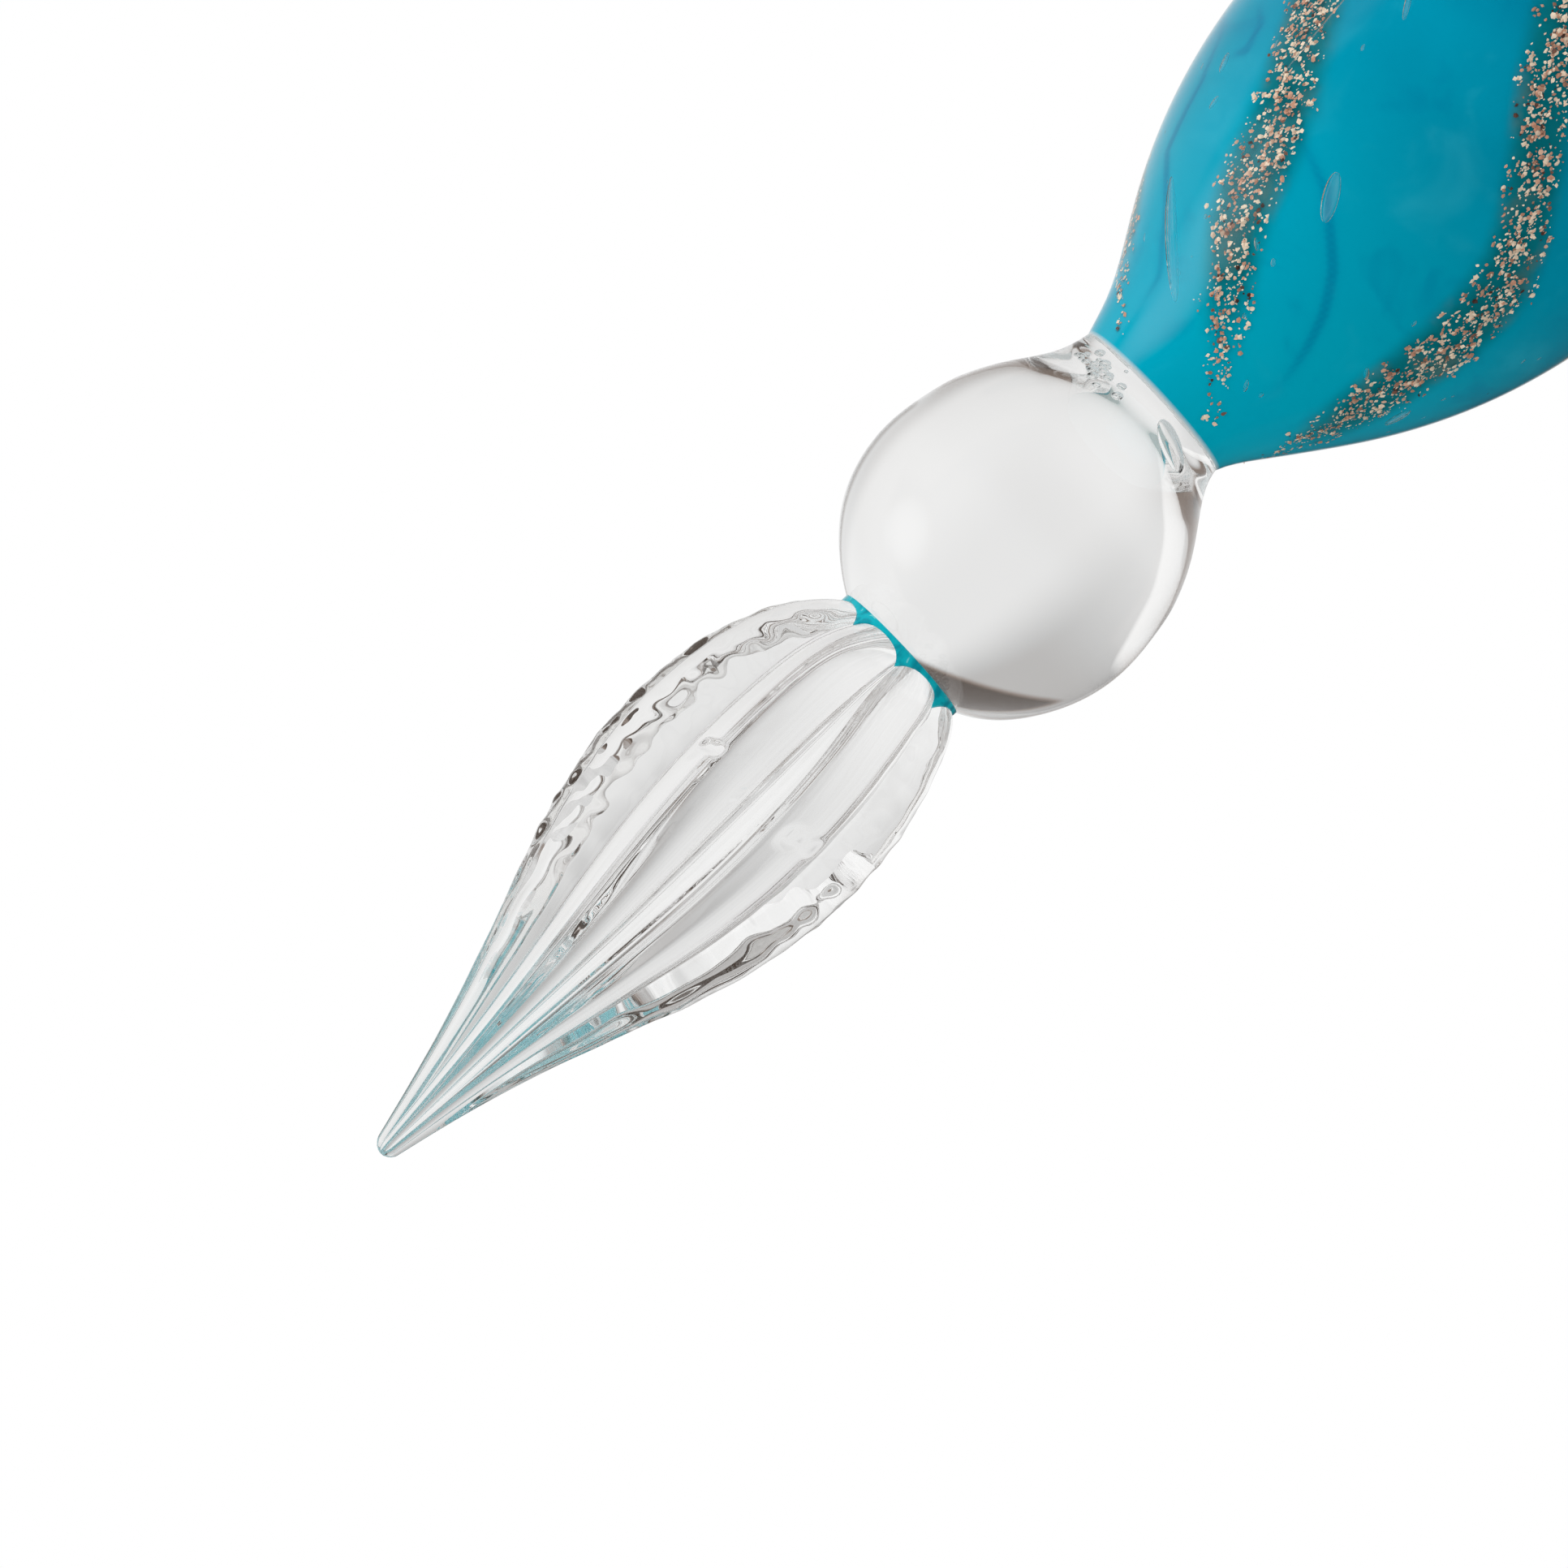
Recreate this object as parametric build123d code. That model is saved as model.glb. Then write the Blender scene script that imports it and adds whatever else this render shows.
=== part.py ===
from build123d import *
import os
from math import cos, degrees, pi, radians, sin

# A lampworked glass dip pen, in millimetres. It stands on its nib: the tip is at the origin,
# +Z runs up the handle to the tail, and -Y is the front.

# Fluted nib
flute_count = 8
tip_radius = 0.34  # the blunt writing end
tip_round = 0.15  # height over which the end face rounds out to the full tip
nib_radius = 4.6
belly_height = 15.2  # where the nib is widest
nib_length = 21.75
nib_root_radius = 2.0  # under the collar, where the flutes close
nib_hollow = 0.45  # how hollow the sides run from the tip to the belly: 0 is round
nib_shoulder = 1.2  # above 1 the shoulder falls away sooner below the collar
nib_drift = 0.5  # how far the drawn-out tip strays from the axis
nib_twist = 8.0  # degrees that the grooves turn between tip and root
groove_start = 4.0  # degrees from the front to the first groove, at the root
groove_floor_ends = 0.83  # groove floor over crest radius at the tip and at the root
groove_floor_deep = 0.66  # the same where the grooves are deepest
groove_low = 0.8  # below 1 the deepest place moves down towards the tip

# Turquoise collar between the nib and the ball
collar_radius = 2.35
collar_lap = 0.85  # how far it runs down over the ends of the flutes
collar_thickness = 0.35  # glass left between the nib's root and the ball

# Clear ball with its shoulder
ball_radius = 5.16
ball_rise = 4.55  # centre of the ball above the nib's root
neck_radius = 2.82
neck_rise = 6.2  # neck above the ball's centre
ball_side = ((0.32, 0.11), (0.645, 0.51), (0.885, 0.91))  # shares of that rise and of the narrowing

# Handle
neck_flare = 5.0  # radius a little above the neck
neck_flare_rise = 3.8
shoulder_radius = 6.97
shoulder_rise = 8.2
bulge_radius = 7.85
bulge_rise = 14.7
taper_radius = 6.4  # where the long taper sets in
taper_rise = 32.0
slender_radius = 4.4  # where the taper slows down
slender_rise = 54.0
shaft_radius = 3.4
shaft_rise = 80.0  # above the neck, where the taper ends in a straight shaft
shaft_length = 44.0
casing_wall = 0.6  # clear glass over the coloured core
core_neck_gap = 0.35  # clear glass over the core at the neck

# Goldstone ribbons laid into the core
ribbon_count = 5
ribbon_angle = 17.0  # degrees of the core's girth that one ribbon takes up
ribbon_depth = 0.35
fused_gap = 0.02  # left between fused pieces that are wound round each other
ribbon_start_angle = -79.0  # degrees of the first ribbon at its lower end
twist_pitch = -73.5  # height of one full turn at the bulge, negative for a left-hand twist
twist_gain = 0.25  # how far the twist quickens where the glass is thinner
slice_step = 3.0

# Clear drop that closes the tail
tail_radius = 3.2
tail_rise = 6.2  # centre of the drop above the end of the shaft

front = -90.0
collar_top = nib_length + collar_thickness
ball_height = nib_length + ball_rise
neck_height = ball_height + neck_rise  # where the ball is welded to the handle
handle_end = neck_height + shaft_rise + shaft_length


def polar(radius, angle, height):
    """The point at a radius, an angle in degrees and a height."""
    return Vector(radius * cos(radians(angle)), radius * sin(radians(angle)), height)


def turned(outline):
    """A solid turned about the pen's axis from a closed outline of radius and height."""
    return revolve(Plane.XZ * make_face(Curve() + outline), Axis.Z)


# The nib


def nib_stations():
    """Heights up the nib, each with its radius over the crests of the flutes."""
    stations = [(0, tip_radius - tip_round), (tip_round, tip_radius)]
    lower_steps = 6
    for step in range(1, lower_steps + 1):
        share = step / lower_steps
        swell = sin(pi / 2 * share)
        swell = (1 - nib_hollow) * swell + nib_hollow * swell**3
        stations.append((belly_height * share, tip_radius + (nib_radius - tip_radius) * swell))
    for lean in (25, 48, 66, 80, 90):
        fall = cos(radians(lean)) ** nib_shoulder
        height = belly_height + (nib_length - belly_height) * sin(radians(lean))
        stations.append((height, nib_root_radius + (nib_radius - nib_root_radius) * fall))
    return stations


def fluted_slice(height, crest):
    """A flat slice of the nib: a ring of round flutes that meet in sharp grooves."""
    share = height / nib_length
    middle = Vector(nib_drift * (1 - share) ** 2, 0, 0)
    depth = (groove_floor_ends - groove_floor_deep) * sin(pi * share**groove_low)
    floor = crest * (groove_floor_ends - depth)
    first = front + groove_start + nib_twist * (1 - share)
    width = 360 / flute_count
    flutes = []
    for flute in range(flute_count):
        start = first + flute * width
        flutes.append(
            ThreePointArc(
                middle + polar(floor, start, height),
                middle + polar(crest, start + width / 2, height),
                middle + polar(floor, start + width, height),
            )
        )
    return Face(Wire(flutes))


def make_nib():
    return loft([fluted_slice(height, crest) for height, crest in nib_stations()])


# The collar and the ball


def make_collar_blank():
    """The collar before the flutes are pressed into it."""
    height = collar_lap + collar_thickness
    return Pos(0, 0, collar_top) * Cylinder(
        collar_radius, height, align=(Align.CENTER, Align.CENTER, Align.MAX)
    )


def make_ball_blank():
    """The ball and the shoulder that narrows to the neck, before the collar is sunk into it."""
    bottom = (0, ball_height - ball_radius)
    slope = sin(radians(45))
    quarter = (ball_radius * slope, ball_height - ball_radius * slope)
    side = [(ball_radius, ball_height)]
    for rise, fall in ball_side:
        side.append((ball_radius - (ball_radius - neck_radius) * fall, ball_height + neck_rise * rise))
    side.append((neck_radius, neck_height))
    outline = [
        ThreePointArc(bottom, quarter, side[0]),
        Spline(*side, tangents=[(0, 1), (-0.15, 1)]),
        Line(side[-1], (0, neck_height)),
        Line((0, neck_height), bottom),
    ]
    return turned(outline)


# The handle


def handle_side(inset, neck_inset):
    """The curved side of the handle, or the one that lies the inset inside it."""
    points = [
        (neck_radius - neck_inset, neck_height),
        (neck_flare - inset, neck_height + neck_flare_rise),
        (shoulder_radius - inset, neck_height + shoulder_rise),
        (bulge_radius - inset, neck_height + bulge_rise),
        (taper_radius - inset, neck_height + taper_rise),
        (slender_radius - inset, neck_height + slender_rise),
        (shaft_radius - inset, neck_height + shaft_rise),
    ]
    return Spline(*points, tangents=[(0.35, 1), (0, 1)])


def radius_at(side, height):
    """The radius of a side curve at a height, found by halving."""
    low, high = 0.0, 1.0
    for _ in range(30):
        middle = (low + high) / 2
        if side.position_at(middle).Y < height:
            low = middle
        else:
            high = middle
    return side.position_at(low).X


def make_handle_body(inset, neck_inset):
    """The whole handle, or what lies the inset inside it."""
    side = handle_side(inset, neck_inset)
    foot = side.position_at(0)
    shaft = side.position_at(1)
    outline = [
        side,
        Line(shaft, (shaft.X, handle_end)),
        Line((shaft.X, handle_end), (0, handle_end)),
        Line((0, handle_end), (0, neck_height)),
        Line((0, neck_height), foot),
    ]
    return turned(outline)


def core_stations():
    """Heights up the core, each with its radius and the angle that its twist has reached."""
    outside = handle_side(0, 0)
    inside = handle_side(casing_wall, core_neck_gap)
    steps = round((handle_end - neck_height) / slice_step)
    rise = (handle_end - neck_height) / steps
    turn = ribbon_start_angle
    stations = []
    for step in range(steps + 1):
        height = neck_height + step * rise
        stations.append((height, radius_at(inside, height) - fused_gap, turn))
        thinness = bulge_radius / radius_at(outside, height + rise / 2)
        turn += 360 * rise / twist_pitch * thinness**twist_gain
    return stations


def arc(radius, low, high, height):
    """An arc round the pen's axis between two angles."""
    middle = polar(radius, (low + high) / 2, height)
    return ThreePointArc(polar(radius, low, height), middle, polar(radius, high, height))


def core_slice(height, radius, turn):
    """A flat slice of the core: round, with one pocket for each ribbon."""
    pitch = 360 / ribbon_count
    floor = radius - ribbon_depth
    edges = []
    for number in range(ribbon_count):
        low = turn + number * pitch - ribbon_angle / 2
        high = low + ribbon_angle
        edges += [
            Line(polar(radius, low, height), polar(floor, low, height)),
            arc(floor, low, high, height),
            Line(polar(floor, high, height), polar(radius, high, height)),
            arc(radius, high, low + pitch, height),
        ]
    return Face(Wire(edges))


def ribbon_slice(height, radius, turn):
    """A flat slice of one ribbon, the fused gap smaller all round than its pocket."""
    floor = radius - ribbon_depth + fused_gap
    half = ribbon_angle / 2 - degrees(fused_gap / floor)
    low = turn - half
    high = turn + half
    edges = [
        arc(floor, low, high, height),
        Line(polar(floor, high, height), polar(radius, high, height)),
        arc(radius, low, high, height),
        Line(polar(radius, low, height), polar(floor, low, height)),
    ]
    return Face(Wire(edges))


def make_tail():
    """The clear drop at the end of the shaft, never wider than the shaft."""
    height = handle_end + tail_rise
    slope = sin(radians(45))
    leave = (tail_radius * slope, height - tail_radius * slope)
    top = (0, height + tail_radius)
    outline = [
        Spline((shaft_radius, handle_end), leave, tangents=[(-0.3, 1), (1, 1)]),
        ThreePointArc(leave, (tail_radius * slope, height + tail_radius * slope), top),
        Line(top, (0, handle_end)),
        Line((0, handle_end), (shaft_radius, handle_end)),
    ]
    return turned(outline)


def make_pen():
    """Every piece of the pen by its node's name."""
    nib = make_nib()
    collar_blank = make_collar_blank()
    pieces = {
        "nib": nib,
        "nib_collar": collar_blank - nib,
        "ball": make_ball_blank() - collar_blank - nib,
    }
    stations = core_stations()
    pieces["handle_core"] = loft([core_slice(*station) for station in stations])
    ribbon = loft([ribbon_slice(*station) for station in stations])
    for number in range(ribbon_count):
        pieces[f"goldstone_ribbon_{number + 1}"] = Rot(0, 0, number * 360 / ribbon_count) * ribbon
    pieces["handle_casing"] = make_handle_body(0, 0) - make_handle_body(casing_wall, core_neck_gap)
    pieces["tail_drop"] = make_tail()
    return pieces


os.makedirs("parts", exist_ok=True)
for name, piece in make_pen().items():
    export_step(piece, f"parts/{name}.step")
    print(name, len(piece.solids()), round(piece.volume, 2))
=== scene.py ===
import random
from math import cos, exp, pi, radians, sin, sqrt

import bpy
import numpy as np
from mathutils import Matrix, Vector, noise


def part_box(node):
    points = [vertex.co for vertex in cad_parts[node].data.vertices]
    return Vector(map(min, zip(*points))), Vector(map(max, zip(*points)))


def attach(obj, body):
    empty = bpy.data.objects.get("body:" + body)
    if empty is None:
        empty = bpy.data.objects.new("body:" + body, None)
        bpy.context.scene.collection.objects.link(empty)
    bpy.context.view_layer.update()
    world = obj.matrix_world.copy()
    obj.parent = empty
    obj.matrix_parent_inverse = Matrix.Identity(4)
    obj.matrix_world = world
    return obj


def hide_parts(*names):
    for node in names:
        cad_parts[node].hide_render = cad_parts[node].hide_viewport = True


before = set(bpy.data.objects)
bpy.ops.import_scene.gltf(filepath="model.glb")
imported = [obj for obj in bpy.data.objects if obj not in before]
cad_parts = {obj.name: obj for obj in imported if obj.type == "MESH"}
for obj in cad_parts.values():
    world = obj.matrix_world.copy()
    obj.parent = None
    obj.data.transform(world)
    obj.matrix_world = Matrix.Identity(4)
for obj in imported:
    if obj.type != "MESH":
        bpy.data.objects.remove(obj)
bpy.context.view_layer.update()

# A lampworked glass dip pen. Lengths are in millimetres until mesh() turns them into metres.
# The pen stands on its nib, +Z runs up the handle, and -Y is the front.

MM = 0.001

# Nib
FLUTES = 8
TIP_RADIUS = 0.34  # the blunt writing end
NIB_RADIUS = 4.6
BELLY_HEIGHT = 15.2  # where the nib is widest
NIB_LENGTH = 21.75
NIB_ROOT_RADIUS = 2.0  # under the collar, where the flutes close
NIB_HOLLOW = 0.45  # how hollow the sides run from the tip to the belly: 0 is round
NIB_SHOULDER = 1.2  # above 1 the shoulder falls away sooner below the collar
NIB_DRIFT = 0.5  # how far the drawn-out tip strays from the axis
NIB_TWIST = 8.0  # degrees that the grooves turn between tip and root
GROOVE_START = 4.0  # degrees from the front to the first groove, at the root
GROOVE_FLOOR_ENDS = 0.83  # groove floor over crest radius at the tip and at the root
GROOVE_FLOOR_DEEP = 0.66  # the same where the grooves are deepest
GROOVE_LOW = 0.8  # below 1 the deepest place moves down towards the tip
DENT_SIZE = 0.65  # length of the small dents that the tools leave on the nib's sides
DENT_DEPTH = 0.12  # on the flutes at both sides
DENT_DEPTH_BESIDE = 0.075  # on the flutes next to those
LINE_DEPTH = 0.03  # of the fine lines drawn along the nib

# Collar and ball
COLLAR_RADIUS = 2.42
COLLAR_LAP = 1.15  # how far the collar runs down over the ends of the flutes
BALL_RISE = 4.55  # centre of the ball above the nib's root
NECK_RISE = 6.2  # neck above the ball's centre
BALL_SIDE = [(0.32, 0.11), (0.645, 0.51), (0.885, 0.91)]  # shares of that rise and of the narrowing

# Handle: radii at rises above the neck
HANDLE_SIDE = [(2.82, 0), (5.0, 3.8), (6.97, 8.2), (7.85, 14.7), (6.4, 32), (4.4, 54), (3.4, 80)]
SHAFT_LENGTH = 44.0
CASING_WALL = 0.6  # clear glass over the coloured core
NECK_WALL = 0.04  # the same at the neck
RIBBONS = 5
RIBBON_START = -79.0  # degrees of the first ribbon at its lower end
TWIST_PITCH = -73.5  # height of one full turn at the bulge, negative for a left-hand twist
TWIST_GAIN = 0.25  # how far the twist quickens where the glass is thinner
TWIST_STEP = 0.25
NECK_SWIRL = 26  # degrees more that the ribbons have been wrung at the weld
NECK_SWIRL_REACH = 2.4
# How far each ribbon strays from an even twist: degrees, the middle's height over the neck, and reach.
RIBBON_STRAYS = [
    (-8.0, 5.1, 2.4),
    (8.5, 9.6, 2.9),
    (-6.0, 17.0, 5.0),
    (5.0, 12.0, 4.0),
    (-13.0, 6.5, 5.0),
]

# How far the welds at both ends of the ball are out of line, how far up and down that shows, and how
# far the whole pen is moved to stand in the middle.
WELD_STEP = 0.2
WELD_REACH = 1.3
PEN_SHIFT = 0.05

ROUND_COLUMNS = 160  # points round the ball, the casing and the tail

# Marks in the handle, by degrees from the front and height over the neck.
# A bubble also has half its length, width and depth, and its lean in degrees.
BUBBLES = [
    (-47.0, 3.5, 1.95, 0.28, 0.2, -38.0),
    (-9.0, 7.4, 0.78, 0.27, 0.12, -30.0),
    (-29.0, 13.0, 0.55, 0.11, 0.08, -34.0),
    (-64.0, 8.3, 0.34, 0.15, 0.1, -20.0),
    (-58.0, 7.2, 0.24, 0.1, 0.08, 10.0),
    (-42.0, 11.0, 2.1, 0.045, 0.03, -2.0),
]
VEINS = [
    [(-32, 8.0), (-22, 7.9), (-12, 7.5), (-3, 6.8), (6, 6.1), (15, 5.1), (22, 4.1), (27, 3.3), (34, 2.2)],
    [(-84, 9.6), (-77, 8.9), (-72, 7.6), (-73, 5.5), (-60, 4.3), (-45, 2.5), (-47, 1.0)],
    [(-70, 10.4), (-62, 9.9), (-60, 9.0), (-66, 8.6)],
]
VEIN_WIDTH = 0.22
WANDERING_VEINS = 22

# Tail
TAIL_RADIUS = 3.2
TAIL_RISE = 6.2

FRONT = -90.0  # degrees

neck_radius = HANDLE_SIDE[0][0]
bulge_radius = HANDLE_SIDE[3][0]
shaft_radius = HANDLE_SIDE[-1][0]
ball_height = NIB_LENGTH + BALL_RISE
neck_height = ball_height + NECK_RISE
shaft_start = neck_height + HANDLE_SIDE[-1][1]
handle_end = shaft_start + SHAFT_LENGTH
tail_height = handle_end + TAIL_RISE
ball_low, ball_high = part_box("ball")
ball_radius = (ball_high[0] - ball_low[0]) / 2 / MM


def smooth(edge_low, edge_high, x):
    """0 below one edge, 1 above the other, and a smooth rise between."""
    share = min(1.0, max(0.0, (x - edge_low) / (edge_high - edge_low)))
    return share * share * (3 - 2 * share)


def bell(x, middle, width):
    """1 in the middle, falling smoothly to 0 on both sides."""
    return exp(-(((x - middle) / width) ** 2))


def mix(low, high, share):
    """The value that lies a share of the way from low to high."""
    return low + (high - low) * share


def sway(height):
    """How far hand work has drawn the pen's middle to the side."""
    drift = NIB_DRIFT * max(0.0, 1 - height / NIB_LENGTH) ** 2
    collar_step = WELD_STEP * bell(height, NIB_LENGTH, WELD_REACH)
    neck_step = WELD_STEP * bell(height, neck_height, WELD_REACH)
    return drift + collar_step - neck_step - PEN_SHIFT


def polar(radius, angle, height):
    """The point at a radius, an angle in degrees and a height."""
    return Vector((radius * cos(radians(angle)), radius * sin(radians(angle)), height))


def place(radius, angle, height):
    """A point of the pen: its radius and angle about the pen's own middle at that height."""
    return polar(radius, angle, height) + Vector((sway(height), 0, 0))


class Side:
    """A smooth curve of radii over heights, with given slopes at its ends."""

    def __init__(self, points, start_slope, end_slope):
        self.radii = [point[0] for point in points]
        self.heights = [point[1] for point in points]
        count = len(points)
        rows = np.zeros((count, count))
        goals = np.zeros(count)
        rows[0, 0] = rows[-1, -1] = 1
        goals[0], goals[-1] = start_slope, end_slope
        for spot in range(1, count - 1):
            below = self.heights[spot] - self.heights[spot - 1]
            above = self.heights[spot + 1] - self.heights[spot]
            rows[spot, spot - 1 : spot + 2] = (1 / below, 2 / below + 2 / above, 1 / above)
            fall = (self.radii[spot] - self.radii[spot - 1]) / below**2
            climb = (self.radii[spot + 1] - self.radii[spot]) / above**2
            goals[spot] = 3 * (fall + climb)
        self.slopes = np.linalg.solve(rows, goals).tolist()

    def __call__(self, height):
        if height <= self.heights[0]:
            return self.radii[0]
        if height >= self.heights[-1]:
            return self.radii[-1]
        spot = max(i for i in range(len(self.heights) - 1) if self.heights[i] <= height)
        span = self.heights[spot + 1] - self.heights[spot]
        share = (height - self.heights[spot]) / span
        square = share * share
        cube = square * share
        return (
            (2 * cube - 3 * square + 1) * self.radii[spot]
            + (cube - 2 * square + share) * self.slopes[spot] * span
            + (3 * square - 2 * cube) * self.radii[spot + 1]
            + (cube - square) * self.slopes[spot + 1] * span
        )


# Meshes


def mesh(name, points, faces, finish, rides="root", fields=None):
    """A smooth-shaded piece from points in millimetres, with named values on its points."""
    data = bpy.data.meshes.new(name)
    data.from_pydata([point * MM for point in points], [], faces)
    data.polygons.foreach_set("use_smooth", [True] * len(data.polygons))
    data.materials.append(finish)
    for field, values in (fields or {}).items():
        data.attributes.new(field, "FLOAT", "POINT").data.foreach_set("value", values)
    data.update()
    piece = bpy.data.objects.new(name, data)
    bpy.context.scene.collection.objects.link(piece)
    if rides:
        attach(piece, rides)
    return piece


class Skin:
    """Points and faces of a surface wound from rings round the pen's axis."""

    def __init__(self):
        self.points = []
        self.faces = []

    def wind(self, rings, start=None, end=None):
        """Join rings of as many points each, from the lowest up, and close them on end points."""
        first = len(self.points)
        columns = len(rings[0])
        for ring in rings:
            self.points.extend(ring)
        for row in range(len(rings) - 1):
            low = first + row * columns
            high = low + columns
            for column in range(columns):
                beside = (column + 1) % columns
                self.faces.append((low + column, low + beside, high + beside, high + column))
        last = first + (len(rings) - 1) * columns
        if start is not None:
            self.fan(first, columns, start, turned=True)
        if end is not None:
            self.fan(last, columns, end, turned=False)

    def fan(self, first, columns, tip, turned):
        """Close a ring of points on one point."""
        self.points.append(tip)
        top = len(self.points) - 1
        for column in range(columns):
            beside = first + (column + 1) % columns
            face = (first + column, beside, top)
            self.faces.append(tuple(reversed(face)) if turned else face)

    def bubble(self, centre, long_axis, wide_axis, sizes, rows):
        """An air bubble: an ellipsoid whose faces look inwards, since its inside is outside the glass."""
        deep_axis = long_axis.cross(wide_axis)
        columns = rows * 3 // 2
        rings = []
        for row in range(1, rows):
            polar_angle = pi * row / rows
            ring = []
            for column in range(columns):
                turn = -2 * pi * column / columns
                ring.append(
                    centre
                    - long_axis * (sizes[0] * cos(polar_angle))
                    + wide_axis * (sizes[1] * sin(polar_angle) * cos(turn))
                    + deep_axis * (sizes[2] * sin(polar_angle) * sin(turn))
                )
            rings.append(ring)
        self.wind(rings, centre - long_axis * sizes[0], centre + long_axis * sizes[0])


# Shape of the nib


def nib_crest(height):
    """Radius over the crests of the flutes."""
    if height <= BELLY_HEIGHT:
        swell = sin(pi / 2 * height / BELLY_HEIGHT)
        return mix(TIP_RADIUS, NIB_RADIUS, mix(swell, swell**3, NIB_HOLLOW))
    share = min(1.0, (height - BELLY_HEIGHT) / (NIB_LENGTH - BELLY_HEIGHT))
    return mix(NIB_ROOT_RADIUS, NIB_RADIUS, (1 - share**2) ** (NIB_SHOULDER / 2))


def groove_floor(height):
    """Radius of the grooves' floor over the crest radius."""
    share = min(1.0, height / NIB_LENGTH)
    return GROOVE_FLOOR_ENDS - (GROOVE_FLOOR_ENDS - GROOVE_FLOOR_DEEP) * sin(pi * share**GROOVE_LOW)


def first_groove(height):
    """Angle of the groove that lies nearest to the front."""
    return FRONT + GROOVE_START + NIB_TWIST * (1 - height / NIB_LENGTH)


def flute_radius(angle, height):
    """Radius of the fluted surface: each flute is an arc that reaches from groove to groove."""
    width = 360 / FLUTES
    phase = (angle - first_groove(height)) % width - width / 2
    floor = groove_floor(height)
    half = radians(width / 2)
    reach = 1 - floor * cos(half)
    arc = (reach**2 + (floor * sin(half)) ** 2) / (2 * reach)
    middle = 1 - arc
    turn = radians(phase)
    return nib_crest(height) * (middle * cos(turn) + sqrt(arc**2 - (middle * sin(turn)) ** 2))


def ripple(point, size, seed):
    """A smooth random value from -1 to 1 with bumps of about the given size."""
    return noise.noise(point / size + Vector((seed, 0, 0)))


def make_nicks():
    """Where the pincers have gripped the flutes in front and behind: the angle and height of each
    mark, its width in degrees, its length and its depth."""
    chance = random.Random(5)
    nicks = []
    for flute in range(FLUTES):
        angle = first_groove(BELLY_HEIGHT) + (flute + 0.5) * 360 / FLUTES + chance.uniform(-9, 9)
        height = BELLY_HEIGHT + chance.uniform(-0.4, 0.5)
        at_the_side = abs(sin(radians(angle))) < 0.8
        if not at_the_side:
            width = chance.uniform(4, 7)
            length = chance.uniform(0.2, 0.35)
            depth = chance.uniform(0.09, 0.14)
            nicks.append((angle, height, width, length, depth))
    return nicks


nib_nicks = make_nicks()


def nick(angle, height):
    """How far the pincers' marks press the surface in."""
    out_of_reach = 1.6
    if abs(height - BELLY_HEIGHT) > out_of_reach:
        return 0.0
    depth = 0.0
    for centre, level, width, length, press in nib_nicks:
        turn = (angle - centre + 180) % 360 - 180
        slanted = height - level - turn * 0.02
        reach = (turn / width) ** 4 + (slanted / length) ** 4
        if reach < 8:
            depth += press * exp(-reach)
    return depth


def dents(radius, angle, height):
    """The wavy dents on the flutes at the sides: drawn out below, and short and crowded above."""
    spot = polar(radius, angle, height)
    aside = abs((angle + 90) % 180 - 90)
    depth = DENT_DEPTH * bell(aside, 0, 14) + DENT_DEPTH_BESIDE * bell(aside, 36, 9)
    crowding = height - 11.2 - 1.8 * cos(radians(angle))
    run = 0.3 * height + 0.42 * (crowding + sqrt(crowding**2 + 1))
    wave = ripple(Vector((spot.x, spot.y, run)), DENT_SIZE, 3.0)
    return wave * (smooth(5.0, 9.0, height) * depth)


def drawn_lines(turn, height):
    """The fine lines that run along the flutes from drawing the glass out, by the turn in radians."""
    line = ripple(Vector((cos(turn), sin(turn), height * 0.012)), 0.15, 6.0)
    return LINE_DEPTH * line * smooth(1.5, 6.0, height) * smooth(21.0, 17.0, height)


def make_nib(glass):
    rows = 305
    columns = FLUTES * 40
    lowest = 0.02
    rings = []
    for row in range(rows + 1):
        share = row / rows
        height = lowest + (NIB_LENGTH - lowest) * share
        tip_round = sqrt(max(0.0, 1 - (1 - min(1.0, height / TIP_RADIUS)) ** 2))
        ring = []
        for column in range(columns):
            angle = first_groove(height) + 360 * column / columns
            radius = flute_radius(angle, height) * tip_round
            wave = dents(radius, angle, height) + drawn_lines(2 * pi * column / columns, height)
            ring.append(place(radius + wave - nick(angle, height), angle, height))
        rings.append(ring)
    skin = Skin()
    skin.wind(rings, place(0, 0, 0), place(0, 0, NIB_LENGTH))
    piece = mesh("nib_glass", skin.points, skin.faces, glass)
    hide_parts("nib")
    return piece


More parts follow.
